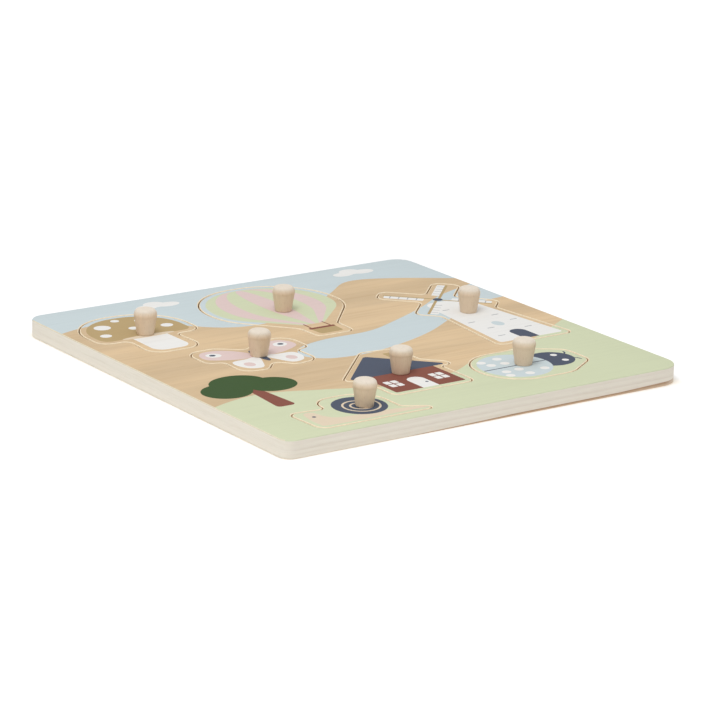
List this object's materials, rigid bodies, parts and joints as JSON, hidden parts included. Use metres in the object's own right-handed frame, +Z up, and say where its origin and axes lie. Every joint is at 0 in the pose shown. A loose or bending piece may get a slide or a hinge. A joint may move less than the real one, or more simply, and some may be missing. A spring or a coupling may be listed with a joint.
{
  "type": "knob puzzle",
  "caption": "Square plywood knob puzzle: printed tray with picture pieces seated flush in sawn recesses, each lifted out by a turned wooden peg.",
  "frame": {"origin": "centre of the tray's underside", "axes": "+Z up through the tray's face, +X to the right and +Y to the top of its picture"},
  "size_m": [0.3, 0.3, 0.0285],
  "materials": {
    "backing_ply": "sanded birch plywood, clear matt lacquer",
    "panel_ply": "birch plywood, matt printed face with bare sanded edges",
    "mushroom_ply": "birch plywood, matt printed face with bare sanded edges",
    "balloon_ply": "birch plywood, matt printed face with bare sanded edges",
    "butterfly_ply": "birch plywood, matt printed face with bare sanded edges",
    "cottage_ply": "birch plywood, matt printed face with bare sanded edges",
    "snail_ply": "birch plywood, matt printed face with bare sanded edges",
    "windmill_ply": "birch plywood, matt printed face with bare sanded edges",
    "beetle_ply": "birch plywood, matt printed face with bare sanded edges",
    "knob_wood": "turned pale hardwood, clear matt lacquer",
    "screw_steel": "zinc plated"
  },
  "bodies": {
    "tray": {"backing_board": "backing_ply", "face_panel": "panel_ply"},
    "mushroom": {"mushroom_piece": "mushroom_ply", "mushroom_knob": "knob_wood", "mushroom_screw": "screw_steel"},
    "balloon": {"balloon_piece": "balloon_ply", "balloon_knob": "knob_wood", "balloon_screw": "screw_steel"},
    "butterfly": {"butterfly_piece": "butterfly_ply", "butterfly_knob": "knob_wood", "butterfly_screw": "screw_steel"},
    "cottage": {"cottage_piece": "cottage_ply", "cottage_knob": "knob_wood", "cottage_screw": "screw_steel"},
    "snail": {"snail_piece": "snail_ply", "snail_knob": "knob_wood", "snail_screw": "screw_steel"},
    "windmill": {"windmill_piece": "windmill_ply", "windmill_knob": "knob_wood", "windmill_screw": "screw_steel"},
    "beetle": {"beetle_piece": "beetle_ply", "beetle_knob": "knob_wood", "beetle_screw": "screw_steel"}
  },
  "joints": [
    {"name": "mushroom_lift", "type": "slide", "parent": "tray", "child": "mushroom", "axis": [0, 0, 1], "range_m": [0, 0.04]},
    {"name": "balloon_lift", "type": "slide", "parent": "tray", "child": "balloon", "axis": [0, 0, 1], "range_m": [0, 0.04]},
    {"name": "butterfly_lift", "type": "slide", "parent": "tray", "child": "butterfly", "axis": [0, 0, 1], "range_m": [0, 0.04]},
    {"name": "cottage_lift", "type": "slide", "parent": "tray", "child": "cottage", "axis": [0, 0, 1], "range_m": [0, 0.04]},
    {"name": "snail_lift", "type": "slide", "parent": "tray", "child": "snail", "axis": [0, 0, 1], "range_m": [0, 0.04]},
    {"name": "windmill_lift", "type": "slide", "parent": "tray", "child": "windmill", "axis": [0, 0, 1], "range_m": [0, 0.04]},
    {"name": "beetle_lift", "type": "slide", "parent": "tray", "child": "beetle", "axis": [0, 0, 1], "range_m": [0, 0.04]}
  ]
}
